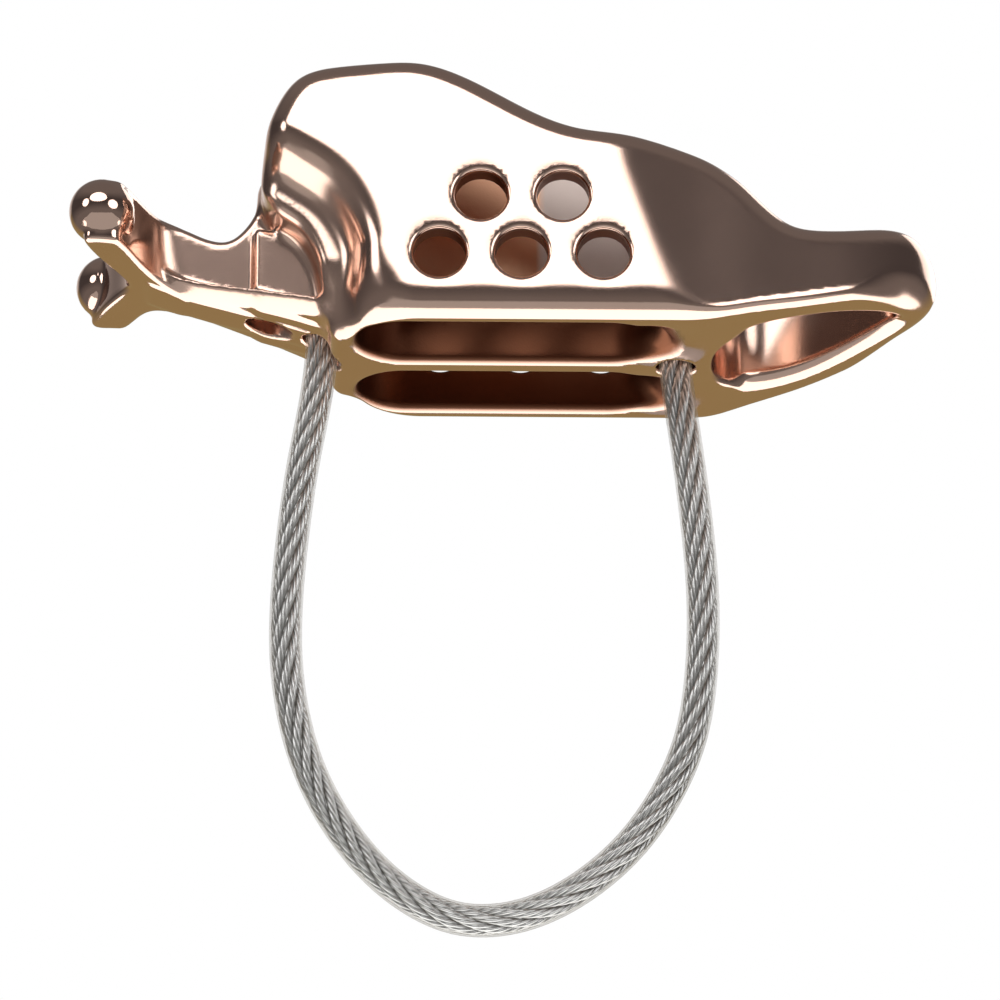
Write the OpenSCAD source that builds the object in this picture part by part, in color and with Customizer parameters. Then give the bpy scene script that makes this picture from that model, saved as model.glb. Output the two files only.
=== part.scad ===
// Belay plate with two rope slots, release horns, a guide eye and a wire keeper loop.
// Millimetres. +X runs along the length towards the guide eye, +Z is up, and the origin
// is on the underside, in the middle of the web between the two rope slots.

/* [Hump and rope slots] */
// Height of the hump above the underside
hump_h = 29.5; // [29:0.1:30.5]
// Width of the body across both rope slots
body_w = 31.8; // [31.2:0.1:32.2]
// Width of one rope slot
slot_w = 10.5; // [10:0.1:10.8]
// Length of one rope slot right through the body, end to end
slot_l = 32; // [31:0.1:32.4]
// Thickness of the web between the two rope slots
web_t = 3.2; // [2.6:0.1:3.6]

/* [Side holes] */
// Diameter of the lightening holes in each outer wall
side_hole_d = 5.6; // [4:0.1:6]
// Spacing of the lightening holes along a row
side_hole_pitch = 8.7; // [8.2:0.1:9]

/* [Guide eye and nose] */
// Length of the guide eye along X
eye_l = 19.5; // [17:0.1:19.8]
// Width of the guide eye
eye_w = 16; // [13:0.1:16.4]

/* [Neck and horns] */
// Diameter of the ball at the tip of each horn
ball_d = 7; // [6.4:0.1:7.4]
// Distance between the centres of the two balls
ball_spread = 21; // [20:0.1:22]
// Diameter of the release cord hole through the neck
cord_hole_d = 4.2; // [3:0.1:4.4]

/* [Keeper cable] */
// Outside diameter of the clear sheath
sheath_d = 3.5; // [3.3:0.05:3.6]
// Diameter of the bare wire rope
rope_d = 2.9; // [2.4:0.05:3]
// Diameter of the blind bores that take the rope ends
bore_d = 4.2; // [4:0.05:4.3]
// Length of the crimp ferrule on each rope end
ferrule_l = 5; // [3:0.1:5.5]

/* [Hidden] */
$fn = 64;

rose_gold = [0.83, 0.62, 0.52];
wire_grey = [0.66, 0.67, 0.68];
clear_grey = [0.85, 0.86, 0.84, 0.45];
ferrule_grey = [0.78, 0.78, 0.80];

eps = 0.01;
over = 1;              // how far a cutter runs past the face that it opens
through = 80;          // longer than the body is high or wide
spline_steps = 3;      // straight pieces between two points of an outline

// Side view of the hump and the nose ring, as [x, z]: the top from the neck to the nose tip
hump_top = [[-25.7, 14.6], [-25.7, 18], [-25.1, 21.8], [-23.9, 25], [-21.9, 27.7], [-18.6, hump_h - 0.5],
            [-12.8, hump_h], [-8.5, hump_h - 0.1], [-4.3, 28], [0, 25.7], [4.3, 23.4], [8.5, 22],
            [12.8, 21.5], [16.5, 20.9], [20.7, 19.7], [25.5, 16.9], [29.8, 13], [31.9, 12.2],
            [36.2, 12.6], [40.4, 13.7], [43.8, 14.1], [45.7, 12.9], [46.8, 10.7], [47, 8.7]];
// and the underside from the nose tip back to the foot, then up along the chin to the neck
hump_bottom = [[46.1, 6.9], [42.5, 5.6], [39.9, 4.9], [35.7, 3.6], [31.5, 2.4], [26.5, 1.2], [22.3, 0.2],
               [18, 0], [-12, 0], [-16, 0.4], [-18.2, 1], [-18.8, 3.6], [-19.6, 8], [-20.3, 9.8],
               [-21.7, 11.8], [-23.8, 13.3], [-25.7, 14.6]];
// Plan of the nose as half widths at the underside, and the share by which they draw in over its height
half_w = body_w / 2;
nose_plan = [[-26, 20], [10, 18.3], [15, 17], [20, 15.7], [26.5, 14.4], [31.5, 13.2], [35.7, 11.9],
             [39.9, 9.9], [42.8, 7.9], [45.2, 5.4], [46.8, 2.8], [47.3, 0]];
nose_high = 32;
nose_draw = 0.78;
// The chin: a shoulder of this half width runs along it, and the hump steps back from the line, as [x, z],
// with a bevel this wide
shoulder_half = 11.2;
chin_step = [[-30, 22.1], [-23.5, 17.7], [-17.9, 13.4], [-16.3, 7.8], [-15.9, -1]];
bevel_w = 2.9;

// Side view of the neck and the horns, as [x, z]
neck_top = [[-46, 15], [-43.5, 15.5], [-41.5, 16.1], [-40, 16.4], [-38.5, 16.1], [-36.4, 15.2], [-34, 14.4],
            [-31.9, 13.5], [-29.8, 13.1], [-28.4, 13.7], [-27.2, 15], [-26.5, 16.2], [-26.1, 17.6],
            [-25.7, 19], [-23, 19.5]];
neck_bottom = [[-16, 1.5], [-20, 3], [-23.7, 4.1], [-28.7, 5.4], [-33.8, 6.8], [-36.2, 7.7], [-38.5, 8.6],
               [-40.5, 9.1], [-46, 9.3]];
flange_h = 1.8;        // height of the neck's lower flange above its own underside
rib_w = 6.4;           // width of the neck's upper rib
rib_x = [-38, -20];    // where the rib starts and ends
buttress_w = 11.2;     // width of the root of the neck, and its side view as [x, z]
buttress = [[-26.5, 6], [-26.5, 13.8], [-22, 17.9], [-18, 17.9], [-18, 3]];

// Half of the flange's plan, as [x, y]
flange_plan = [[-38, 0], [-37.6, 2.6], [-36.4, 4.3], [-32.6, 4.9], [-29.6, 5.8], [-26.6, 6.8], [-23.7, 7.8],
               [-20.6, 9], [-18.4, 9.4], [-16.6, 8.6], [-15, 6], [-14.4, 0]];
// One horn, as [x, y]: from the crotch out along the front edge, round the tip and back to the neck
horn_plan = [[-40.1, 0], [-41.9, 4.6], [-43.4, 8], [-44.3, 10.8], [-44.3, 12], [-43.5, 12.5],
             [-41, 12.3], [-39.6, 9.8], [-38.4, 6.9], [-36.9, 4.6], [-35.2, 3.4], [-33.6, 0]];
ball_at = [-42.6, ball_spread / 2, 13.3];

// Rope slots
slot_y = (web_t + slot_w) / 2;
slot_x = [-15.4, -15.4 + slot_l];          // where each slot starts and ends
slot_r = slot_w / 2;
// Friction groove that lengthens each slot at the underside, as [x, y from the slot's middle]:
// a V whose tip points to the nose, with end walls that lean back over its height
groove_plan = [[8, -slot_r], [13.6, -slot_r], [17.2, -4], [19.5, -1.3], [17.8, 4.9], [16.4, slot_r],
               [8, slot_r]];
groove_h = 4.6;
groove_lean = 42;
recess_d = 7.8;                            // shallow round recess at the mouth of the groove
recess_x = 17.6;
recess_h = 0.2;

// Guide eye, half of its outline as shares of its length and width
eye_x = 22.6;
eye_shape = [[0, 0], [0.05, 0.6], [0.2, 0.94], [0.4, 1], [0.6, 0.86], [0.8, 0.56], [0.94, 0.26], [1, 0]];

// Lightening holes: [row start x, number, height z at the outer face], and how far they tilt up inwards
hole_tilt = 7;
side_rows = [[-6.6, 3, 6.8], [-6.6 + side_hole_pitch / 2, 2, 13.4]];

// Keeper cable: the two bore mouths, [x, z], and the depth of each bore above its mouth
mouth = [[-19.2, 1.7], [18.7, 0]];
bore_deep = 10.5;
bore_below = 5;        // how far the bore's cutter starts below the mouth
end_gap = 1.6;         // from the bend at the mouth up to the rope end fixed in the bore
sheath_gap = 0.05;     // between the wire rope and the sheath
cord_hole_at = [-25, 4.7];  // on the neck's underside, [x, z]
cord_hole_tilt = 20;        // square to that sloping underside

// Route of the loop in the plane y = 0, as [x, z], from the left mouth round to the right mouth
route = [[-19.2, 1.7], [-19.8, -4], [-20.9, -10.6], [-21.8, -17.5], [-22.4, -24.3], [-22.6, -30],
         [-22.3, -35.6], [-21, -42.4], [-18.4, -49.1], [-13.9, -55.8], [-9.2, -60], [-4.5, -62.2],
         [0.3, -62.4], [5, -61], [9.7, -58.1], [14.3, -53.6], [18.1, -47.6], [20.4, -41.4],
         [21.4, -34.5], [21.6, -27.5], [21.2, -20.5], [20.4, -13.2], [19.5, -6.5], [18.7, 0]];
tube_sides = 8;
rope_dome = [25, 60];  // angles of the two rings that round off each end of the rope

// A smooth open curve through the points p (Catmull-Rom), with n straight pieces between each two
function curve(p, n = spline_steps) = [
    for (i = [0:len(p) - 2]) for (j = [0:n - 1])
        let (t = j / n, a = p[max(i - 1, 0)], b = p[i], c = p[i + 1], d = p[min(i + 2, len(p) - 1)])
        0.5 * (2 * b + t * (c - a) + t * t * (2 * a - 5 * b + 4 * c - d)
               + t * t * t * (3 * b - a - 3 * c + d)),
    p[len(p) - 1]];
function flip(p) = [for (i = [len(p) - 1:-1:0]) [p[i][0], -p[i][1]]];
// A closed outline, the same on both sides of the X axis, from its half p
function both_sides(p) = concat(p, [for (q = flip(p)) if (abs(q[1]) > eps) q]);

// Extrudes a side view [x, z] across the whole width, or outwards from the given y
module across(from = -through / 2) {
    translate([0, from, 0]) mirror([0, 1, 0]) rotate([90, 0, 0]) linear_extrude(through) children();
}

// The bevel between a side of the hump and the step in its chin
module chin_bevel() {
    intersection_for (i = [0:len(chin_step) - 2])
        let (a = chin_step[i], d = chin_step[i + 1] - a)
        translate([a[0], half_w - bevel_w, a[1]]) rotate([0, -atan2(d[0], -d[1]), 0]) rotate([0, 0, 45])
            translate([-through / 2, 0, -through / 2]) cube(through);
}

module chin_cut() {
    foot = chin_step[len(chin_step) - 1];
    across(shoulder_half) polygon(concat(chin_step, [[-through, foot[1]], [-through, chin_step[0][1]]]));
    chin_bevel();
}

module hump_and_ring() {
    difference() {
        intersection() {
            across() polygon(concat(curve(hump_top), curve(hump_bottom)));
            linear_extrude(nose_high, scale = [1, nose_draw]) polygon(both_sides(curve(nose_plan)));
            cube([through * 2, body_w, through * 2], center = true);
        }
        chin_cut();
        mirror([0, 1, 0]) chin_cut();
    }
}

module neck() {
    intersection() {
        across() polygon(concat(curve(neck_top), curve(neck_bottom)));
        translate([rib_x[0], -rib_w / 2, 0]) cube([rib_x[1] - rib_x[0], rib_w, hump_h]);
    }
    intersection() {
        across() polygon(concat([for (q = flip(neck_bottom)) [q[0], -q[1] + flange_h]], neck_bottom));
        linear_extrude(through) polygon(both_sides(curve(flange_plan)));
    }
    translate([0, -buttress_w / 2, 0]) mirror([0, 1, 0]) rotate([90, 0, 0]) linear_extrude(buttress_w) polygon(buttress);
}

module horn() {
    intersection() {
        across() polygon(concat(curve(neck_top), curve(neck_bottom)));
        linear_extrude(through) polygon(horn_plan);
    }
    translate(ball_at) sphere(d = ball_d);
}

module rope_slot() {
    translate([0, slot_y, 0]) {
        translate([slot_x[0] + slot_r, 0, -through / 2]) cylinder(r = slot_r, h = through);
        translate([slot_x[1] - slot_r, 0, -through / 2]) cylinder(r = slot_r, h = through);
        translate([slot_x[0] + slot_r, -slot_r, -through / 2]) cube([slot_l - slot_w, slot_w, through]);
        translate([recess_x, 0, -over]) cylinder(d = recess_d, h = over + recess_h);
        intersection() {
            translate([0, 0, -over]) linear_extrude(groove_h + over) polygon(groove_plan);
            translate([groove_plan[3][0], 0, 0]) rotate([0, -groove_lean, 0])
                translate([-through, -through / 2, -through / 2]) cube(through);
        }
    }
}

module guide_eye() {
    translate([eye_x, 0, -through / 2]) linear_extrude(through)
        polygon(both_sides(curve([for (q = eye_shape) [q[0] * eye_l, q[1] * eye_w / 2]])));
}

// The lightening holes go through the outer walls into the slots, and leave the web whole
module side_holes() {
    for (row = side_rows) for (i = [0:row[1] - 1]) for (s = [-1, 1])
        translate([row[0] + i * side_hole_pitch, s * half_w, row[2]]) rotate([s * (90 - hole_tilt), 0, 0])
            cylinder(d = side_hole_d, h = 2 * (half_w - slot_y), center = true);
}

module cable_bores() {
    for (m = mouth) translate([m[0], 0, m[1] - bore_below]) cylinder(d = bore_d, h = bore_deep + bore_below);
}

module cord_hole() {
    translate([cord_hole_at[0], 0, cord_hole_at[1]]) rotate([0, -cord_hole_tilt, 0])
        translate([0, 0, -through / 4]) cylinder(d = cord_hole_d, h = through / 2);
}

module forged_body() {
    color(rose_gold) difference() {
        union() {
            hump_and_ring();
            neck();
            horn();
            mirror([0, 1, 0]) horn();
        }
        rope_slot();
        mirror([0, 1, 0]) rope_slot();
        guide_eye();
        side_holes();
        cable_bores();
        cord_hole();
    }
}

// Unit direction of the route at its point i
function along(i) = let (a = route[max(i - 1, 0)], b = route[min(i + 1, len(route) - 1)], d = b - a)
    d / norm(d);
// A ring of radius r square to the route at its point i, moved on along the route by s
function ring(i, r, s = 0) = let (t = along(i), c = route[i] + s * t)
    [for (k = [0:tube_sides - 1]) let (a = 360 * k / tube_sides, o = r * cos(a))
        [c[0] - t[1] * o, r * sin(a), c[1] + t[0] * o]];
// The four-cornered faces between ring a and ring b of a list of rings
function wall(a, b) = [for (k = [0:tube_sides - 1]) let (m = (k + 1) % tube_sides)
    [a * tube_sides + k, a * tube_sides + m, b * tube_sides + m, b * tube_sides + k]];
function cap(a, up) = [[for (k = [0:tube_sides - 1]) a * tube_sides + (up ? tube_sides - 1 - k : k)]];
function last() = len(route) - 1;

module keeper_cable() {
    r = rope_d / 2;
    rings = concat([for (a = rope_dome) ring(0, r * sin(a), -r * cos(a))],
                   [for (i = [0:last()]) ring(i, r)],
                   [for (a = [rope_dome[1], rope_dome[0]]) ring(last(), r * sin(a), r * cos(a))]);
    n = len(rings);
    color(wire_grey) polyhedron([for (q = rings) each q],
        concat(cap(0, false), [for (i = [0:n - 2]) each wall(i + 1, i)], cap(n - 1, true)));
}

module cable_sheath() {
    inner = rope_d / 2 + sheath_gap;
    n = len(route);
    // The outer rings run from left to right and the inner ones back again, as one closed band
    rings = concat([for (i = [0:n - 1]) ring(i, sheath_d / 2)], [for (i = [n - 1:-1:0]) ring(i, inner)]);
    color(clear_grey) polyhedron([for (q = rings) each q],
        [for (i = [0:2 * n - 1]) each wall((i + 1) % (2 * n), i)]);
}

// A bare rope end, from just above the bend at the mouth to the top of its ferrule
module cable_end(m) {
    color(wire_grey) translate([m[0], 0, m[1] + end_gap])
        cylinder(d = rope_d, h = bore_deep - end_gap - eps);
}
module cable_end_left() { cable_end(mouth[0]); }
module cable_end_right() { cable_end(mouth[1]); }

// A crimp sleeve round the rope end, pressed in at the top of the bore
module ferrule(m) {
    color(ferrule_grey) translate([m[0], 0, m[1] + bore_deep - ferrule_l]) difference() {
        cylinder(d = bore_d, h = ferrule_l - eps);
        translate([0, 0, -over]) cylinder(d = rope_d, h = ferrule_l + 2 * over);
    }
}
module ferrule_left() { ferrule(mouth[0]); }
module ferrule_right() { ferrule(mouth[1]); }

forged_body();
keeper_cable();
cable_sheath();
cable_end_left();
cable_end_right();
ferrule_left();
ferrule_right();
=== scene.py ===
"""The looks of a forged belay plate with a wire keeper loop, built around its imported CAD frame.

Shapes are worked out in millimetres, in the frame of the CAD part, and turned into metres when a mesh is
made. +X runs towards the guide eye, +Z is up, and the rope slots lie on either side of the plane y = 0.
"""
import math

import bpy
import numpy as np
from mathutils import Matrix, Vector


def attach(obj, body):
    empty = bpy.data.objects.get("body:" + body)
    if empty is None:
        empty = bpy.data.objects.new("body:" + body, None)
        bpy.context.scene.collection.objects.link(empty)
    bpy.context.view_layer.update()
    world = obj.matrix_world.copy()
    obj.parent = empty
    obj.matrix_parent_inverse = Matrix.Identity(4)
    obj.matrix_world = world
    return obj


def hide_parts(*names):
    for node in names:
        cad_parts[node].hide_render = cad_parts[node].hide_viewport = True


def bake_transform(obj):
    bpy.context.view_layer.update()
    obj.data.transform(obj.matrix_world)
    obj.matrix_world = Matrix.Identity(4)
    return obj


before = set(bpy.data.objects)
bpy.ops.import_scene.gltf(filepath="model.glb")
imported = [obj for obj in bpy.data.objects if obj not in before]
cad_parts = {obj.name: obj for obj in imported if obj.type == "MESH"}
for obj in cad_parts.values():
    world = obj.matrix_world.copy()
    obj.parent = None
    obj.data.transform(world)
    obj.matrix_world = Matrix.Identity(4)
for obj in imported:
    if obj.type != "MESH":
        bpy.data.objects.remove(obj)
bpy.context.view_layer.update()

MM = 0.001
scene = bpy.context.scene


# ---------------------------------------------------------------- camera

CAMERA_RISE = 21.5          # degrees that the line of sight climbs
CAMERA_AWAY = 1050          # mm from the camera to the point that it looks at
CAMERA_AIM = (0, 0, -15.2)  # that point
CAMERA_ROLL = 0.4           # degrees that the picture's right side drops
PICTURE_WIDTH = 106.4       # mm across the picture at that point


def make_camera():
    rise = math.radians(CAMERA_RISE)
    data = bpy.data.cameras.new("camera")
    data.sensor_width = 36
    data.lens = data.sensor_width * CAMERA_AWAY / PICTURE_WIDTH
    camera = bpy.data.objects.new("camera", data)
    sight = Vector((0, math.cos(rise), math.sin(rise)))
    camera.location = (Vector(CAMERA_AIM) - CAMERA_AWAY * sight) * MM
    camera.rotation_euler = (math.pi / 2 + rise, 0, 0)
    camera.rotation_euler.rotate_axis("Z", math.radians(CAMERA_ROLL))
    scene.collection.objects.link(camera)
    scene.camera = camera


# ---------------------------------------------------------------- curves and distances

def spline(knots, closed=False, samples=12):
    """Points along a smoothly bending curve through the knots, samples of them for each stretch."""
    p = np.array(knots, float)
    if closed:
        p = np.vstack([p, p[:1]])
    n = len(p) - 1
    t = np.r_[0, np.cumsum(np.sqrt(np.linalg.norm(np.diff(p, axis=0), axis=1)))]
    h = np.diff(t)
    slope = np.diff(p, axis=0) / h[:, None]
    size = n if closed else n + 1
    a, b = np.zeros((size, size)), np.zeros((size, p.shape[1]))
    for i in range(size):
        if closed or 0 < i < n:
            before, after = (i - 1) % n if closed else i - 1, i
            a[i, (i - 1) % size] += h[before]
            a[i, i] += 2 * (h[before] + h[after])
            a[i, (i + 1) % size] += h[after]
            b[i] = 6 * (slope[after] - slope[before])
        else:
            a[i, i] = 1
    m = np.linalg.solve(a, b)
    if closed:
        m = np.vstack([m, m[:1]])
    out = []
    for i in range(n):
        for s in np.arange(samples) / samples:
            u, v = s * h[i], (1 - s) * h[i]
            out.append(m[i] * v ** 3 / (6 * h[i]) + m[i + 1] * u ** 3 / (6 * h[i])
                       + (p[i] / h[i] - m[i] * h[i] / 6) * v + (p[i + 1] / h[i] - m[i + 1] * h[i] / 6) * u)
    if not closed:
        out.append(p[-1])
    return np.array(out)


def both_sides(half):
    """The knots of a closed outline from those of its half with y of 0 or more, given from end to end."""
    return list(half) + [(x, -y) for x, y in reversed(half) if abs(y) > 1e-6]


class Outline:
    """The signed distance to a closed outline, negative inside, kept on a grid and read smoothly."""

    def __init__(self, points, step=0.3, margin=6):
        p = np.asarray(points, np.float32)
        self.low = p.min(0) - margin
        self.step = step
        counts = np.ceil((p.max(0) + margin - self.low) / step).astype(int) + 1
        rows = [self.low[k] + step * np.arange(counts[k], dtype=np.float32) for k in (0, 1)]
        a, b = p, np.roll(p, -1, axis=0)
        e = b - a
        ee = np.maximum((e ** 2).sum(1), 1e-12)
        grid = np.empty(counts, np.float32)
        for i, x in enumerate(rows[0]):
            dx = x - a[:, 0]
            dy = rows[1][:, None] - a[:, 1]
            t = np.clip((dx * e[:, 0] + dy * e[:, 1]) / ee, 0, 1)
            far = (dx - t * e[:, 0]) ** 2 + (dy - t * e[:, 1]) ** 2
            crosses = (a[:, 1] > rows[1][:, None]) != (b[:, 1] > rows[1][:, None])
            at = a[:, 0] + dy * e[:, 0] / np.where(e[:, 1] == 0, 1, e[:, 1])
            inside = (crosses & (at > x)).sum(1) % 2 == 1
            grid[i] = np.sqrt(far.min(1)) * np.where(inside, -1, 1)
        self.grid = grid

    def __call__(self, x, y):
        at, weights = [], []
        for k, c in enumerate((x, y)):
            u = (c - self.low[k]) / self.step
            i = np.clip(np.floor(u).astype(int), 1, self.grid.shape[k] - 3)
            s = np.clip(u - i, 0, 1)
            at.append(i)
            weights.append([(1 - s) ** 3 / 6, (3 * s ** 3 - 6 * s ** 2 + 4) / 6,
                            (-3 * s ** 3 + 3 * s ** 2 + 3 * s + 1) / 6, s ** 3 / 6])
        total = 0
        for a in range(4):
            row = 0
            for b in range(4):
                row = row + weights[1][b] * self.grid[at[0] + a - 1, at[1] + b - 1]
            total = total + weights[0][a] * row
        return total


def ease(value, start, end):
    """0 before start, 1 after end, and a smooth step between them."""
    t = np.clip((value - start) / (end - start), 0, 1)
    return t * t * (3 - 2 * t)


def cut_round(a, b, r):
    """What is inside both a and b, with the edge between them rounded to radius r."""
    r = np.maximum(r, 1e-3)
    return np.minimum(np.maximum(a, b), -r) + np.hypot(np.maximum(a + r, 0), np.maximum(b + r, 0))


def cut_soft(a, b, width):
    """What is inside both a and b, for two faces at a blunt angle, blended over this width."""
    near = np.maximum(width - np.abs(a - b), 0) / width
    return np.maximum(a, b) + near ** 2 * width / 4


def join_round(a, b, r):
    """What is inside a or b, with a fillet of radius r where they meet."""
    return -cut_round(-a, -b, r)


# ---------------------------------------------------------------- the forging

HALF_W = 15.9

# Side view of the hump and the nose ring, as (x, z): up the chin, over the hump to the nose and back below
HUMP_SIDE = [(-25.7, 11), (-25.7, 18), (-25.1, 21.8), (-23.9, 25), (-21.9, 27.7), (-18.6, 29),
             (-12.8, 29.5), (-8.5, 29.4), (-4.3, 28), (0, 25.7), (4.3, 23.4), (8.5, 22), (12.8, 21.5),
             (16.5, 20.9), (20.7, 19.7), (22.9, 18.7), (25.5, 16.9), (27.7, 14.8), (29.8, 13), (31.9, 12.2),
             (36.2, 12.6), (40.4, 13.7), (43.8, 14.1), (45.7, 12.9), (46.8, 10.7), (47, 8.7), (46.1, 6.9),
             (42.5, 5.6), (39.9, 4.9), (35.7, 3.6), (31.5, 2.4), (26.5, 1.2), (22.3, 0.2), (18, 0)]
# and the straight foot that closes it
HUMP_FOOT = [(-8, 0), (-25.7, 0)]
# The outer walls draw in below this height, by half the square of the depth below it over this run
FOOT_START = 3.2
FOOT_RUN = 2.3
DOME_WIDE = 5.5             # how far from its outline the wall starts to curve away
DISH_WIDE = 2.2             # width of the shallow dish round each lightening hole
DISH_DEEP = 0.09

# Side view of the chin, where the hump overhangs the neck, from its front edge down past the foot
CHIN = [(-40, 17.6), (-33, 17.2), (-28, 15.8), (-25.4, 14.4), (-23.8, 13.3), (-21.7, 11.8), (-20.3, 9.8),
        (-19.6, 8), (-19.1, 5.5), (-18.8, 3.6), (-18.2, 1), (-17.8, -4), (-17.8, -20)]
CHIN_BEHIND = [(60, -20), (60, 40), (-40, 40)]
CHIN_ROLL = 3.6             # radius of the roll along the chin
CHIN_ROLL_FOOT = 3.6        # and how much is added to it at the foot
# The shoulder between the roll and the neck: its half width, how much narrower it is at the foot, and how
# far the roll stands back from the chin line
SHOULDER_HALF = 11.2
SHOULDER_TAPER = 2.6
SHOULDER_WIDE = 4.2

# Plan of the nose as half widths near the foot; the walls lean in above that
NOSE_PLAN = [(10, 17.95), (15, 16.65), (20, 15.4), (26.5, 14.1), (31.5, 12.9), (35.7, 11.6), (39.9, 9.7),
             (42.8, 7.8), (45.4, 5.3), (47.4, 2.8), (48.3, 0)]
NOSE_BEHIND = [(-60, -36), (-60, 36)]
NOSE_LEAN = 0.096

# Side view of the neck and horns, as (x, z): over the top and back underneath
NECK_SIDE = [(-46, 15), (-43.5, 15.5), (-41.5, 16.1), (-40, 16.4), (-38.5, 16.1), (-36.4, 15.2),
             (-34, 14.4), (-31.9, 13.5), (-29.8, 13.1), (-28.4, 13.7), (-27.2, 15), (-26.5, 16.2),
             (-26.1, 17.6), (-25.8, 19), (-23, 19.5)]
NECK_UNDER = [(-20, 3), (-23.7, 4.1), (-28.7, 5.4), (-33.8, 6.8), (-36.2, 7.7), (-38.5, 8.6), (-40.5, 9.1),
              (-46, 9.3)]
NECK_SLOPE = 0.11           # how much the rib and the neck's root widen upwards, from NECK_LOW
NECK_LOW = 9
RIB_HALF = 3.2
RIB_START = -38
# The root of the neck: its front, its half width, and a top that slopes up towards the hump
ROOT_X = -26.5
ROOT_HALF = 5.6
ROOT_TOP = 13.8
ROOT_SLOPE = 0.9
FLANGE_UNDER = [(-40, 9), (-38.5, 8.6), (-36.2, 7.7), (-33.8, 6.8), (-28.7, 5.4), (-23.7, 4.1), (-20, 3),
                (-15.6, 1.4), (-12, 0.3)]
FLANGE_HIGH = 1.6
FLANGE_TALL = 9             # height of the side view that its plan is cut from
FLANGE_PLAN = [(-38, 0), (-37.6, 2.6), (-36.4, 4.3), (-34.6, 4.5), (-32.6, 4.9), (-29.6, 5.8),
               (-26.6, 6.8), (-23.7, 7.8), (-20.6, 9), (-18.4, 9.4), (-16.6, 8.6), (-15, 6), (-14.4, 0)]
HORN_PLAN = [(-40.1, 0), (-40.5, 1.6), (-41.9, 4.6), (-43.4, 8), (-44.3, 10.8), (-44.3, 12), (-43.5, 12.5),
             (-42.3, 12.5), (-41, 12.3), (-40.3, 11.4), (-39.6, 9.8), (-38.4, 6.9), (-36.9, 4.6),
             (-35.2, 3.4), (-33.8, 2.4), (-33.6, 0)]
BALL = (-42.6, 10.5, 13.3)
BALL_R = 3.5
BALL_LOW = 9.2              # height of the flat under each ball

SLOT_R = 5.25
SLOT_Y = 6.87
SLOT_X = (-15.4, 16.6)
SLOT_EDGE = 0.8             # radius of the slots' rims
# The friction groove is a V whose walls lean back: its tip, the directions square to its two sides, its
# lean, its height, where it starts and how far it stays inside the slot's sides
GROOVE_TIP = (19.5, 5.55)
GROOVE_SIDES = ((0.9648, 0.263), (0.761, -0.649))
GROOVE_LEAN = math.radians(42)
GROOVE_HIGH = 6
GROOVE_START = 6
GROOVE_BANK = 0.9
# The recess at the groove's mouth is a shallow cap of this ball
RECESS_X = 17.6
RECESS_R = 30.25
RECESS_DEEP = 0.25
EYE_PLAN = [(22.6, 0), (23.5, 4.6), (26.4, 7.5), (30.2, 8), (34.2, 6.9), (38, 4.6), (40.9, 2.1), (42.1, 0)]

HOLE_R = 2.8
HOLE_PITCH = 8.7
HOLE_RISE = 0.12            # how much the lightening holes rise inwards, as a slope
HOLES = ([(-6.6 + i * HOLE_PITCH, 6.8) for i in range(3)]
         + [(-2.25 + i * HOLE_PITCH, 13.4) for i in range(2)])
BORE_R = 2.1
BORES = [(-19.2, 1.7), (18.7, 0)]
BORE_DEEP = 10.5
CORD_HOLE = (-25, 4.7)
CORD_HOLE_R = 2.1
CORD_HOLE_TILT = math.radians(20)

# The box that is searched for the surface, and the size of its cells
GRID_LOW = (-46.6, -16.8, -0.9)
GRID_HIGH = (47.9, 16.9, 31)
GRID_STEP = 0.5
# Faces whose opposite corners bend more than this, as a cosine, are meshed twice as finely
SHARP_BEND = 0.95


def outlines():
    """The distance fields of the forging's outlines, by name."""
    under = spline(NECK_UNDER)
    flange = spline(FLANGE_UNDER)
    return {
        "hump_side": Outline(np.vstack([spline(HUMP_SIDE), HUMP_FOOT])),
        "chin": Outline(np.vstack([spline(CHIN), CHIN_BEHIND])),
        "nose_plan": Outline(np.vstack([spline(both_sides(NOSE_PLAN)), NOSE_BEHIND])),
        "neck_side": Outline(np.vstack([spline(NECK_SIDE), under])),
        "flange_side": Outline(np.vstack([flange, flange[::-1] + (0, FLANGE_HIGH)])),
        "flange_tall": Outline(np.vstack([flange, flange[::-1] + (0, FLANGE_TALL)])),
        "horn_plan": Outline(spline(both_sides(HORN_PLAN), closed=True)),
        "flange_plan": Outline(spline(both_sides(FLANGE_PLAN), closed=True)),
        "eye": Outline(spline(both_sides(EYE_PLAN), closed=True)),
    }


def nearest_hole(x, y, z):
    """The distance to the nearest lightening hole; they rise a little inwards from the outer face."""
    nearest = 99
    for hx, hz in HOLES:
        nearest = np.minimum(nearest, np.hypot(x - hx, z - hz - HOLE_RISE * (HALF_W - y)) - HOLE_R)
    return nearest


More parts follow.
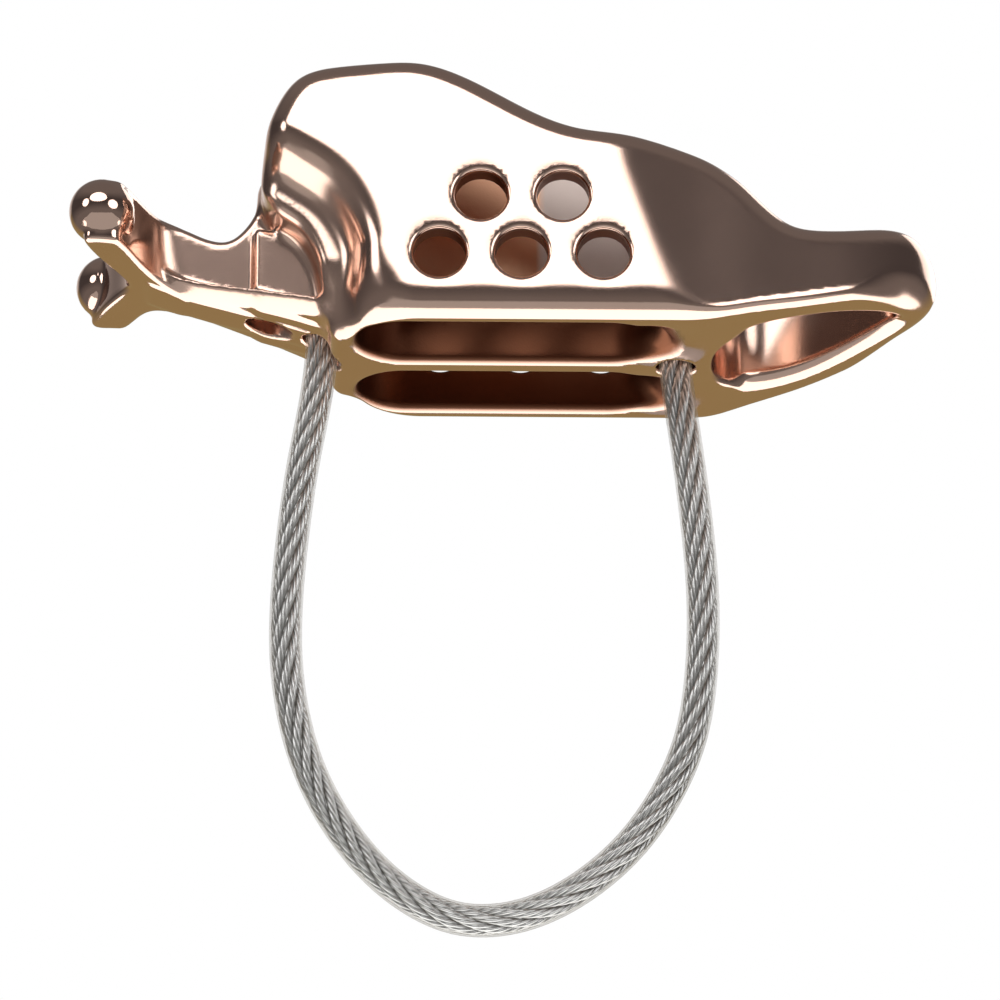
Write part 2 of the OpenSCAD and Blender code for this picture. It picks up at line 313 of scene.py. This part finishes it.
def hump_and_nose(o, x, y, z):
    side = o["hump_side"](x, z)
    chin = o["chin"](x, z)
    # outer wall: upright, drawn in a little along its foot and more softly towards its other edges
    wall = y - HALF_W + 0.5 * (np.clip(FOOT_START - z, 0, 4) / FOOT_RUN) ** 2
    dome = (0.011 + 0.014 * ease(-x, 10, 18)) * ease(z, 5, 12)
    wall = wall + dome * np.clip(side + DOME_WIDE, 0, 7) ** 2
    # and dished a little round each lightening hole
    wall = wall + DISH_DEEP * np.clip(1 - nearest_hole(x, y, z) / DISH_WIDE, 0, 1.2) ** 2
    nose = o["nose_plan"](x, y + NOSE_LEAN * (z - 3))
    body = cut_soft(wall, nose, 0.55)
    # a broad roll along the chin, down to a narrow shoulder
    low = ease(-z, -8, 0)
    step = SHOULDER_WIDE * (0.55 + 0.45 * ease(z, 1, 9))
    body = cut_round(body, chin + step, CHIN_ROLL + CHIN_ROLL_FOOT * low)
    shoulder = np.maximum(y - SHOULDER_HALF + SHOULDER_TAPER * low, x + 10)
    body = join_round(body, cut_round(shoulder, chin, 1.3), 2.6)
    # small radii along the foot and over the top, larger ones up the front and round the nose
    r = 1.2 + 1.3 * ease(z, 4, 12) + 2.2 * ease(x, 37, 43) * ease(-z, -12, -6)
    return cut_round(body, side, r)


def neck_and_horns(o, x, y, z):
    side = o["neck_side"](x, z)
    tall = o["flange_tall"](x, z)
    draft = NECK_SLOPE * (z - NECK_LOW)
    rib = cut_round(cut_round(side, y - RIB_HALF - draft, 0.9), RIB_START - x, 0.5)
    flange = cut_round(tall, o["flange_plan"](x, y), 3.2)
    flange = cut_round(flange, o["flange_side"](x, z), 0.3)
    neck = join_round(rib, flange, 0.6)
    root = cut_round(np.maximum(y - ROOT_HALF - draft, x + 15), ROOT_X - x, 0.8)
    root_top = z - ROOT_TOP - ROOT_SLOPE * (x - ROOT_X)
    root = cut_round(root, np.maximum(root_top, tall), 0.9)
    neck = join_round(neck, root, 0.7)
    plan = o["horn_plan"](x, y)
    neck = join_round(neck, cut_round(side, plan, 0.6), 0.6)
    ball = np.sqrt((x - BALL[0]) ** 2 + (y - BALL[1]) ** 2 + (z - BALL[2]) ** 2) - BALL_R
    return join_round(neck, np.maximum(ball, BALL_LOW + 0.4 * plan - z), 0.35)


def rope_slot(x, y, z):
    """A slot right through, with a friction groove that runs out under its nose end."""
    bank = np.abs(y - SLOT_Y) - SLOT_R + GROOVE_BANK
    middle = np.clip(x, SLOT_X[0] + SLOT_R, SLOT_X[1] - SLOT_R)
    slot = np.hypot(x - middle, y - SLOT_Y) - SLOT_R
    outer, inner = ((x - GROOVE_TIP[0]) * a + (y - GROOVE_TIP[1]) * b for a, b in GROOVE_SIDES)
    back = math.tan(GROOVE_LEAN) * np.maximum(z, -0.5)
    ramp = (cut_round(outer, inner, 1.6) + back) * math.cos(GROOVE_LEAN)
    groove = cut_round(np.maximum(bank, GROOVE_START - x), ramp, 1.5)
    return join_round(slot, np.maximum(groove, z - GROOVE_HIGH), 0.8)


def forging(o, x, y, z):
    """The signed distance to the forging's surface, about right near it, in millimetres."""
    y = np.abs(y)
    body = join_round(hump_and_nose(o, x, y, z), neck_and_horns(o, x, y, z), 1.2)
    body = cut_round(body, -rope_slot(x, y, z), SLOT_EDGE)
    recess = np.hypot(np.hypot(x - RECESS_X, y - SLOT_Y), z + RECESS_R - RECESS_DEEP) - RECESS_R
    body = cut_round(body, -recess, 0.5)
    body = cut_round(body, -o["eye"](x, y), 0.5 + 1.2 * ease(x, 24.5, 26.5))
    hole = np.maximum(nearest_hole(x, y, z), SLOT_Y - y)
    body = cut_round(body, -hole, 0.12 + 0.33 * ease(y, 12.6, 14.6))
    # blind bores of the keeper cable, and the hole for a release cord
    for bx, bz in BORES:
        bore = np.maximum(np.hypot(x - bx, y) - BORE_R, z - bz - BORE_DEEP)
        body = cut_round(body, -bore, 0.3)
    c, s = math.cos(CORD_HOLE_TILT), math.sin(CORD_HOLE_TILT)
    aside = (x - CORD_HOLE[0]) * c + (z - CORD_HOLE[1]) * s
    return cut_round(body, CORD_HOLE_R - np.hypot(aside, y), 0.35)


def gradient(distance, p, h=0.02):
    g = np.empty_like(p)
    for k in range(3):
        step = np.zeros(3)
        step[k] = h
        ahead, behind = p + step, p - step
        g[:, k] = (distance(*ahead.T) - distance(*behind.T)) / (2 * h)
    return g


def unit(v):
    return v / np.maximum(np.linalg.norm(v, axis=1), 1e-9)[:, None]


def contour(distance, low, high, step):
    """Points and four-cornered faces of the surface where distance is 0, with edges kept crisp."""
    x, y, z = (np.arange(low[k], high[k], step) for k in range(3))
    values = distance(x[:, None, None], y[None, :, None], z[None, None, :])
    solid = values < 0
    crossings, normals, quads = [], [], []
    for axis in range(3):
        others = [(axis + 1) % 3, (axis + 2) % 3]
        here, there = [slice(1, -1)] * 3, [slice(1, -1)] * 3
        here[axis], there[axis] = slice(0, -1), slice(1, None)
        here, there = tuple(here), tuple(there)
        hit = solid[here] != solid[there]
        first, second = values[here][hit], values[there][hit]
        node = np.argwhere(hit)
        node[:, others] += 1
        point = node.astype(float)
        point[:, axis] += first / (first - second)
        crossings.append(np.array(low) + step * point)
        normals.append(unit(gradient(distance, crossings[-1])))
        corners = []
        for shift in ((1, 1), (0, 1), (0, 0), (1, 0)):
            cell = node.copy()
            cell[:, others] -= shift
            corners.append(np.ravel_multi_index(cell.T, solid.shape))
        quad = np.stack(corners, 1)
        quads.append(np.where(solid[here][hit][:, None], quad, quad[:, ::-1]))
    crossings, normals, quads = (np.vstack(rows) for rows in (crossings, normals, quads))
    cells, quads = np.unique(quads, return_inverse=True)
    quads = quads.reshape(-1, 4)

    def gather(value):
        return sum(np.bincount(quads[:, k], value, len(cells)) for k in range(4))
    count = gather(np.ones(len(quads)))
    middle = np.stack([gather(crossings[:, k]) for k in range(3)], 1) / count[:, None]
    products = np.array([[gather(normals[:, i] * normals[:, j]) for j in range(3)] for i in range(3)])
    products = products.transpose(2, 0, 1)
    reach = (normals * crossings).sum(1)
    pull = np.stack([gather(normals[:, k] * reach) for k in range(3)], 1)
    pull -= np.einsum("nij,nj->ni", products, middle)
    size, turn = np.linalg.eigh(products)
    gain = np.where(size > 0.1 * size[:, 2:], 1 / np.maximum(size, 1e-9), 0)
    move = np.einsum("nij,nj->ni", turn, gain * np.einsum("nji,nj->ni", turn, pull))
    return middle + np.clip(move, -step, step), quads


def mesh_object(name, points, faces, normals=None):
    mesh = bpy.data.meshes.new(name)
    corners = [tuple(p) for p in np.asarray(points) * MM]
    mesh.from_pydata(corners, [], [tuple(int(i) for i in f) for f in faces])
    mesh.polygons.foreach_set("use_smooth", [True] * len(mesh.polygons))
    mesh.update()
    if normals is not None:
        mesh.normals_split_custom_set_from_vertices([tuple(n) for n in normals])
    obj = bpy.data.objects.new(name, mesh)
    scene.collection.objects.link(obj)
    return obj


def halve_edges(points, faces, pick):
    """Splits the picked four-cornered faces in four; their neighbours keep one face with extra corners."""
    n = len(points)
    ends = np.stack([faces, np.roll(faces, -1, axis=1)], 2)
    ends = np.sort(ends, 2)
    key = ends[..., 0] * n + ends[..., 1]
    cut = np.unique(key[pick])
    middle = (points[cut // n] + points[cut % n]) / 2
    at = np.searchsorted(cut, key)
    at = np.minimum(at, len(cut) - 1)
    halved = cut[at] == key
    at = at + n
    centre = points[faces[pick]].mean(1)
    c = n + len(cut) + np.arange(len(centre))
    f, m = faces[pick], at[pick]
    small = [np.stack([f[:, k], m[:, k], c, m[:, k - 1]], 1) for k in range(4)]
    quads = np.vstack([faces[~pick & ~halved.any(1)]] + small)
    others = []
    for row in np.flatnonzero(~pick & halved.any(1)):
        corners = []
        for k in range(4):
            corners.append(faces[row, k])
            if halved[row, k]:
                corners.append(at[row, k])
        others.append(corners)
    return np.vstack([points, middle, centre]), quads, others


def make_forging():
    o = outlines()

    def distance(*at):
        return forging(o, *at)

    def settle(points):
        for _ in range(3):
            g = gradient(distance, points)
            move = g * (distance(*points.T) / np.maximum((g ** 2).sum(1), 0.2))[:, None]
            points = points - np.clip(move, -0.3, 0.3)
        return points, unit(gradient(distance, points, 0.3))

    points, faces = contour(distance, GRID_LOW, GRID_HIGH, GRID_STEP)
    points, normals = settle(points)
    corner = normals[faces]
    bend = np.minimum((corner[:, 0] * corner[:, 2]).sum(1), (corner[:, 1] * corner[:, 3]).sum(1))
    points, faces, others = halve_edges(points, faces, bend < SHARP_BEND)
    points, normals = settle(points)
    obj = mesh_object("forged_plate", points, faces.tolist() + others, normals)
    x, y, z = points[:, 0], np.abs(points[:, 1]), points[:, 2]
    inside = np.minimum(rope_slot(x, y, z), np.maximum(nearest_hole(x, y, z), y - HALF_W + 1.1))
    # painted shade: inside the slots and holes the colour is darker, partly for the rough as-forged finish
    # and partly as painted shade
    forged_shade_and_light = 1 - ease(inside, 0.1, 0.7)
    # painted light: the web above the slots' feet is painted paler than their walls, and palest towards the
    # nose, for the light that reaches it there
    high = ease(z, 6.5, 9)
    web_painted_light = (0.6 - 0.3 * ease(z, 14, 18)) * high
    web_painted_light = (web_painted_light + (1 - web_painted_light) * ease(x, 3.6, 4.4) * high) * ease(-y, -3.5, -2.5)
    # the flat underside and the horns are the most polished, the neck and the chin the least
    matte = (0.3 + 0.2 * ease(-x, 14, 18) * ease(-z, -20, -14)) * ease(x, -39, -37)
    matte = np.maximum(matte * ease(normals[:, 2], -0.97, -0.7), forged_shade_and_light) * 0.4
    matte = matte + 0.5 * forged_shade_and_light * ease(web_painted_light, 0.5, 1)
    for name, value in (("as_forged_and_shaded", forged_shade_and_light), ("painted_web_light", web_painted_light), ("matte", matte)):
        obj.data.attributes.new(name, "FLOAT", "POINT").data.foreach_set("value", value)
    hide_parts("forged_body")
    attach(obj, "plate")
    return obj


# ---------------------------------------------------------------- the keeper cable

# Route of the loop in the plane y = 0, as (x, z), from the left bore's mouth round to the right one
ROUTE = [(-19.2, 1.7), (-19.8, -4), (-20.9, -10.6), (-21.8, -17.5), (-22.4, -24.3), (-22.6, -30),
         (-22.3, -35.6), (-21, -42.4), (-18.4, -49.1), (-13.9, -55.8), (-9.2, -60), (-4.5, -62.2),
         (0.3, -62.4), (5, -61), (9.7, -58.1), (14.3, -53.6), (18.1, -47.6), (20.4, -41.4),
         (21.4, -34.5), (21.6, -27.5), (21.2, -20.5), (20.4, -13.2), (19.5, -6.5), (18.7, 0)]
SHEATH_R = 1.75
SHEATH_WALL = 0.19
SHEATH_INSIDE = 2.2         # how far the sheath reaches up into each bore
ROPE_INSIDE = 7.5           # and how far the rope does
ROPE_R = 1.54
STRANDS = 6
STRAND_LAY = 20.5           # length in which a strand goes once round the rope, right-handed
WIRES = 6                   # outer wires of one strand
WIRE_LAY = 5.6              # length in which a wire goes once round its strand, left-handed
WIRE_SIDES = 6              # points across one wire


def route_line(inside, spacing):
    """Evenly spaced points along the route and up into each bore, their directions and their runs."""
    left, right = ROUTE[0], ROUTE[-1]
    knots = [(left[0], left[1] + inside)] + ROUTE + [(right[0], right[1] + inside)]
    dense = spline(knots, samples=40)
    run = np.r_[0, np.cumsum(np.linalg.norm(np.diff(dense, axis=0), axis=1))]
    at = np.linspace(0, run[-1], int(round(run[-1] / spacing)) + 1)
    flat = np.stack([np.interp(at, run, dense[:, k]) for k in (0, 1)], 1)
    line = np.stack([flat[:, 0], np.zeros(len(flat)), flat[:, 1]], 1)
    along = np.gradient(line, axis=0)
    return line, along / np.linalg.norm(along, axis=1)[:, None], at


def side_faces(a, b, sides):
    """The four-cornered faces between ring a and ring b."""
    turn = [(i, (i + 1) % sides) for i in range(sides)]
    return [(a * sides + i, a * sides + j, b * sides + j, b * sides + i) for i, j in turn]


def swept(name, rings):
    """A closed tube through rings of points, all with as many points."""
    n, sides = rings.shape[:2]
    faces = [face for a in range(n - 1) for face in side_faces(a, a + 1, sides)]
    faces += [tuple(range(sides))[::-1], tuple((n - 1) * sides + i for i in range(sides))]
    return mesh_object(name, rings.reshape(-1, 3), faces)


def rope_frame(along):
    """Two directions square to the rope at each point: across the loop's plane, and in it."""
    out = np.tile((0.0, 1.0, 0.0), (len(along), 1))
    return out, np.cross(along, out)


def circles(line, along, radius, sides):
    """A ring of points of this radius round each point of the line."""
    across, inward = rope_frame(along)
    angle = 2 * math.pi * np.arange(sides) / sides
    return line[:, None] + radius * (np.cos(angle)[None, :, None] * across[:, None]
                                     + np.sin(angle)[None, :, None] * inward[:, None])


def make_strand(index):
    """One strand: its outer wires show as round lobes that twist against the strand's own turn."""
    line, along, at = route_line(ROPE_INSIDE, 0.5)
    across, inward = rope_frame(along)
    turn = 2 * math.pi * (at / STRAND_LAY + index / STRANDS)
    out = np.cos(turn)[:, None] * across + np.sin(turn)[:, None] * inward
    round_ = -np.sin(turn)[:, None] * across + np.cos(turn)[:, None] * inward
    centre = line + ROPE_R * 2 / 3 * out
    wire = ROPE_R / 9
    sides = WIRES * WIRE_SIDES
    theta = 2 * math.pi * np.arange(sides) / sides
    local = (theta + math.pi / WIRES) % (2 * math.pi / WIRES) - math.pi / WIRES
    radius = 2 * wire * np.cos(local) + np.sqrt(np.maximum(wire ** 2 - (2 * wire * np.sin(local)) ** 2, 0))
    angle = theta[None, :] - 2 * math.pi * at[:, None] / WIRE_LAY
    rings = (centre[:, None] + radius[None, :, None] * (np.cos(angle)[..., None] * out[:, None]
                                                        + np.sin(angle)[..., None] * round_[:, None]))
    strand = swept(f"rope_strand_{index + 1}", rings)
    # how deep each point lies between the strands, or between the wires of its own strand; it sets the
    # painted shade in these crevices
    between_strands = 1 - ease(np.linalg.norm(rings - line[:, None], axis=2) / ROPE_R, 0.6, 0.95)
    between_wires = 0.7 * (1 - ease(radius / (3 * wire), 0.6, 0.95))
    crevice_shade = np.maximum(between_strands, between_wires[None, :])
    strand.data.attributes.new("crevice_shade", "FLOAT", "POINT").data.foreach_set("value", crevice_shade.ravel())
    return strand


def make_rope_core():
    line, along, _ = route_line(ROPE_INSIDE, 1.2)
    return swept("rope_core", circles(line, along, ROPE_R / 3, 8))


def make_sheath():
    """The clear jacket: an outer and an inner wall, joined at both ends."""
    line, along, _ = route_line(SHEATH_INSIDE, 0.8)
    sides = 32
    inner = circles(line, along, SHEATH_R - SHEATH_WALL, sides)
    both = np.concatenate([circles(line, along, SHEATH_R, sides), inner[::-1]])
    n = len(both)
    faces = [face for a in range(n) for face in side_faces(a, (a + 1) % n, sides)]
    return mesh_object("clear_sheath", both.reshape(-1, 3), faces)


def make_cable():
    strands = [make_strand(i) for i in range(STRANDS)]
    core = make_rope_core()
    sheath = make_sheath()
    for piece in strands + [core, sheath]:
        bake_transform(piece)
        # the real underside shows no mirror image of the loop
        piece.visible_glossy = False
    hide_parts("keeper_cable", "cable_end_left", "cable_end_right")
    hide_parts("cable_sheath")
    return strands + [core], sheath


# ---------------------------------------------------------------- materials

def new_material(name):
    material = bpy.data.materials.new(name)
    material.use_nodes = True
    nodes, links = material.node_tree.nodes, material.node_tree.links
    return material, nodes, links, nodes["Principled BSDF"]


def add(nodes, kind, **values):
    node = nodes.new(kind)
    for key, value in values.items():
        if key in node.inputs:
            node.inputs[key].default_value = value
        else:
            setattr(node, key, value)
    return node


def blend_value(nodes, links, factor, low, high):
    """A number that goes from low to high with factor; low and high are numbers or outputs."""
    node = nodes.new("ShaderNodeMix")
    links.new(factor, node.inputs["Factor"])
    for socket, value in ((node.inputs["A"], low), (node.inputs["B"], high)):
        if isinstance(value, (int, float)):
            socket.default_value = value
        else:
            links.new(value, socket)
    return node.outputs["Result"]


def anodised():
    """Polished forging under a rose-gold film, left rough inside the slots and holes and darker there,
    partly for that rough finish and partly as painted shade; the web's paler patch towards the nose is
    painted light.
    """
    material, nodes, links, shader = new_material("rose_gold_anodised")
    shader.inputs["Metallic"].default_value = 1
    where = nodes.new("ShaderNodeTexCoord")
    rough_and_shaded = add(nodes, "ShaderNodeAttribute", attribute_name="as_forged_and_shaded")
    tint = add(nodes, "ShaderNodeTexNoise", Scale=60, Detail=3)
    ramp = nodes.new("ShaderNodeValToRGB")
    ramp.color_ramp.elements[0].color = (0.81, 0.555, 0.445, 1)
    ramp.color_ramp.elements[1].color = (0.86, 0.61, 0.50, 1)
    links.new(where.outputs["Object"], tint.inputs["Vector"])
    links.new(tint.outputs["Fac"], ramp.inputs["Fac"])
    film = add(nodes, "ShaderNodeMix", data_type="RGBA")
    links.new(rough_and_shaded.outputs["Fac"], film.inputs["Factor"])
    links.new(ramp.outputs["Color"], film.inputs["A"])
    # painted light and shade: the inside colour runs from a dark end, partly the rough as-forged finish and
    # partly painted shade, to a pale end painted on the web towards the nose as light
    painted_web_light = add(nodes, "ShaderNodeAttribute", attribute_name="painted_web_light")
    forged_shade_and_light = nodes.new("ShaderNodeValToRGB")
    forged_shade_and_light.color_ramp.elements[0].color = (0.22, 0.085, 0.045, 1)
    forged_shade_and_light.color_ramp.elements[1].color = (0.97, 0.86, 0.80, 1)
    forged_shade_and_light.color_ramp.elements.new(0.3).color = (0.64, 0.35, 0.22, 1)
    forged_shade_and_light.color_ramp.elements.new(0.6).color = (1.0, 0.60, 0.38, 1)
    links.new(painted_web_light.outputs["Fac"], forged_shade_and_light.inputs["Fac"])
    links.new(forged_shade_and_light.outputs["Color"], film.inputs["B"])
    matte = add(nodes, "ShaderNodeAttribute", attribute_name="matte")
    links.new(film.outputs["Result"], shader.inputs["Base Color"])
    gloss = add(nodes, "ShaderNodeTexNoise", Scale=420, Detail=4)
    links.new(where.outputs["Object"], gloss.inputs["Vector"])
    polished = blend_value(nodes, links, gloss.outputs["Fac"], 0.05, 0.08)
    links.new(blend_value(nodes, links, matte.outputs["Fac"], polished, 0.8), shader.inputs["Roughness"])
    grain = add(nodes, "ShaderNodeTexNoise", Scale=5200, Detail=2)
    links.new(where.outputs["Object"], grain.inputs["Vector"])
    bump = add(nodes, "ShaderNodeBump", Distance=0.00003)
    links.new(blend_value(nodes, links, matte.outputs["Fac"], 0.03, 0.8), bump.inputs["Strength"])
    links.new(grain.outputs["Fac"], bump.inputs["Height"])
    links.new(bump.outputs["Normal"], shader.inputs["Normal"])
    return material


def steel_wire():
    material, nodes, links, shader = new_material("steel_wire")
    shader.inputs["Metallic"].default_value = 1
    where = nodes.new("ShaderNodeTexCoord")
    noise = add(nodes, "ShaderNodeTexNoise", Scale=900, Detail=3)
    ramp = nodes.new("ShaderNodeValToRGB")
    ramp.color_ramp.elements[0].color = (0.58, 0.58, 0.57, 1)
    ramp.color_ramp.elements[1].color = (0.84, 0.84, 0.83, 1)
    links.new(where.outputs["Object"], noise.inputs["Vector"])
    links.new(noise.outputs["Fac"], ramp.inputs["Fac"])
    crevice_shade = add(nodes, "ShaderNodeAttribute", attribute_name="crevice_shade")
    # painted shade: the crevices between strands and between wires are darkened almost to black
    crevice_shaded = add(nodes, "ShaderNodeMix", data_type="RGBA")
    links.new(crevice_shade.outputs["Fac"], crevice_shaded.inputs["Factor"])
    links.new(ramp.outputs["Color"], crevice_shaded.inputs["A"])
    crevice_shaded.inputs["B"].default_value = (0.1, 0.1, 0.098, 1)
    links.new(crevice_shaded.outputs["Result"], shader.inputs["Base Color"])
    shader.inputs["Roughness"].default_value = 0.36
    return material


def clear_plastic():
    """Thin clear vinyl, a little yellowed, that shows most where it is seen edge on."""
    material, nodes, links, shader = new_material("clear_plastic")
    shader.inputs["Base Color"].default_value = (0.56, 0.51, 0.41, 1)
    shader.inputs["Roughness"].default_value = 0.12
    edge = add(nodes, "ShaderNodeLayerWeight", Blend=0.5)
    ramp = nodes.new("ShaderNodeValToRGB")
    ramp.color_ramp.elements[0].position = 0.3
    ramp.color_ramp.elements[0].color = (0.04, 0.04, 0.04, 1)
    ramp.color_ramp.elements[1].color = (0.5, 0.5, 0.5, 1)
    links.new(edge.outputs["Facing"], ramp.inputs["Fac"])
    links.new(ramp.outputs["Color"], shader.inputs["Alpha"])
    return material


def satin_aluminium():
    material, nodes, links, shader = new_material("satin_aluminium")
    shader.inputs["Metallic"].default_value = 1
    shader.inputs["Base Color"].default_value = (0.76, 0.77, 0.78, 1)
    where = nodes.new("ShaderNodeTexCoord")
    noise = add(nodes, "ShaderNodeTexNoise", Scale=1200, Detail=3)
    spread = nodes.new("ShaderNodeMapRange")
    spread.inputs["To Min"].default_value = 0.25
    spread.inputs["To Max"].default_value = 0.45
    links.new(where.outputs["Object"], noise.inputs["Vector"])
    links.new(noise.outputs["Fac"], spread.inputs["Value"])
    links.new(spread.outputs["Result"], shader.inputs["Roughness"])
    return material


def paint(obj, material):
    obj.data.materials.clear()
    obj.data.materials.append(material)


# ---------------------------------------------------------------- floor, lights and surroundings

# Colours of the surroundings, which show in the polished metal
ROOM = (0.06, 0.057, 0.06)
CEILING = (0.16, 0.155, 0.155)
CLOTH = (0.42, 0.43, 0.43)
BOARD = (0.32, 0.26, 0.125)
PALE_WALL = (0.75, 0.74, 0.73)

# Sizes of the stage are in metres
FLOOR_Z = -0.5
FLOOR_R = 1.05
CARD_Z = FLOOR_Z + 0.01
CARD_HALF = 0.9
CARD_Y = (-1.1, -0.16, 0.87)  # the cloth lies between the first two, and the white table between the last
LIGHT_AWAY = 1.6            # from the object to each soft box
# Name, azimuth and rise of the middle, width and height, in degrees as the object sees them, and brightness
SOFT_BOXES = [("top_soft_box", -13, 33, 52, 34, 2.4), ("left_soft_box", -57, 17, 22, 24, 2.4),
              ("right_soft_box", 39, 10, 34, 30, 2.4), ("left_low_soft_box", -67, -38, 24, 22, 2.2),
              ("right_low_soft_box", 86, -49, 26, 20, 2.2), ("back_right_soft_box", 140, 30, 40, 40, 1.4)]


def soft_box(name, azimuth, rise, wide, high, strength):
    a, e = math.radians(azimuth), math.radians(rise)
    to = Vector((math.sin(a) * math.cos(e), -math.cos(a) * math.cos(e), math.sin(e)))
    w, h = (2 * math.tan(math.radians(s / 2)) * LIGHT_AWAY for s in (wide, high))
    data = bpy.data.lights.new(name, "AREA")
    data.shape = "ELLIPSE"
    data.size, data.size_y = w, h
    data.energy = strength * math.pi * w * h * math.pi / 4
    light = bpy.data.objects.new(name, data)
    light.location = to * LIGHT_AWAY
    light.rotation_euler = (-to).to_track_quat("-Z", "Y").to_euler()
    light.visible_camera = False
    scene.collection.objects.link(light)


def make_floor():
    sides = 96
    turn = [2 * math.pi * i / sides for i in range(sides)]
    mesh = bpy.data.meshes.new("floor")
    mesh.from_pydata([(FLOOR_R * math.cos(t), FLOOR_R * math.sin(t), FLOOR_Z) for t in turn], [],
                     [tuple(range(sides))])
    floor = bpy.data.objects.new("floor", mesh)
    scene.collection.objects.link(floor)
    material, _, _, shader = new_material("pale_floor")
    shader.inputs["Base Color"].default_value = (0.9, 0.9, 0.9, 1)
    shader.inputs["Roughness"].default_value = 0.7
    paint(floor, material)


def card(name, near, far, colour, strength):
    """A flat card from near to far, that only shows in reflections."""
    corners = [(-CARD_HALF, near, CARD_Z), (CARD_HALF, near, CARD_Z), (CARD_HALF, far, CARD_Z),
               (-CARD_HALF, far, CARD_Z)]
    mesh = bpy.data.meshes.new(name)
    mesh.from_pydata(corners, [], [(0, 1, 2, 3)])
    obj = bpy.data.objects.new(name, mesh)
    scene.collection.objects.link(obj)
    material, nodes, links, shader = new_material(name)
    nodes.remove(shader)
    glow = add(nodes, "ShaderNodeEmission", Color=colour, Strength=strength)
    links.new(glow.outputs["Emission"], nodes["Material Output"].inputs["Surface"])
    paint(obj, material)
    obj.visible_camera = False
    obj.visible_shadow = False
    obj.visible_diffuse = False


def make_world():
    """White to the camera; in reflections a dim room, with a tan board behind and a pale wall above it."""
    world = bpy.data.worlds.new("studio")
    scene.world = world
    world.use_nodes = True
    nodes, links = world.node_tree.nodes, world.node_tree.links
    where = nodes.new("ShaderNodeTexCoord")
    parts = nodes.new("ShaderNodeSeparateXYZ")
    links.new(where.outputs["Generated"], parts.inputs["Vector"])
    height = add(nodes, "ShaderNodeMapRange", **{"From Min": -1, "From Max": 1})
    links.new(parts.outputs["Z"], height.inputs["Value"])
    behind = nodes.new("ShaderNodeValToRGB")
    steps = behind.color_ramp.elements
    steps[0].position = 0.6
    steps[0].color = BOARD + (1,)
    steps[1].position = 0.9
    steps[1].color = ROOM + (1,)
    for position in (0.66, 0.76):
        steps.new(position).color = PALE_WALL + (1,)
    links.new(height.outputs["Result"], behind.inputs["Fac"])
    back = add(nodes, "ShaderNodeMapRange", **{"From Min": 0.55, "From Max": 0.85})
    links.new(parts.outputs["Y"], back.inputs["Value"])
    tone = add(nodes, "ShaderNodeMix", data_type="RGBA")
    front = nodes.new("ShaderNodeValToRGB")
    front.color_ramp.elements[0].position = 0.4
    front.color_ramp.elements[0].color = CEILING + (1,)
    for position in (0.6, 0.75):
        front.color_ramp.elements.new(position).color = ROOM + (1,)
    front.color_ramp.elements[-1].position = 0.9
    front.color_ramp.elements[-1].color = CEILING + (1,)
    links.new(height.outputs["Result"], front.inputs["Fac"])
    links.new(front.outputs["Color"], tone.inputs["A"])
    links.new(behind.outputs["Color"], tone.inputs["B"])
    links.new(back.outputs["Result"], tone.inputs["Factor"])
    background = nodes["Background"]
    links.new(tone.outputs["Result"], background.inputs["Color"])
    seen = add(nodes, "ShaderNodeBackground", Color=(1, 1, 1, 1), Strength=1)
    path = nodes.new("ShaderNodeLightPath")
    mix = nodes.new("ShaderNodeMixShader")
    links.new(path.outputs["Is Camera Ray"], mix.inputs["Fac"])
    links.new(background.outputs["Background"], mix.inputs[1])
    links.new(seen.outputs["Background"], mix.inputs[2])
    links.new(mix.outputs["Shader"], nodes["World Output"].inputs["Surface"])


def make_stage():
    make_floor()
    card("white_table", CARD_Y[1], CARD_Y[2], (1, 0.99, 0.97, 1), 2)
    card("grey_cloth", CARD_Y[0], CARD_Y[1], CLOTH + (1,), 1)
    for box in SOFT_BOXES:
        soft_box(*box)
    make_world()


# ---------------------------------------------------------------- putting it together

scene.view_settings.view_transform = "Standard"
make_camera()
ropes, sheath = make_cable()
plate = make_forging()
wire, plastic, metal, satin = steel_wire(), clear_plastic(), anodised(), satin_aluminium()
for piece in ropes:
    paint(piece, wire)
paint(sheath, plastic)
paint(plate, metal)
for name in ("ferrule_left", "ferrule_right"):
    paint(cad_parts[name], satin)
for name in ("keeper_cable", "cable_end_left", "cable_end_right"):
    paint(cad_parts[name], wire)
paint(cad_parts["cable_sheath"], plastic)
paint(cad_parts["forged_body"], metal)
make_stage()
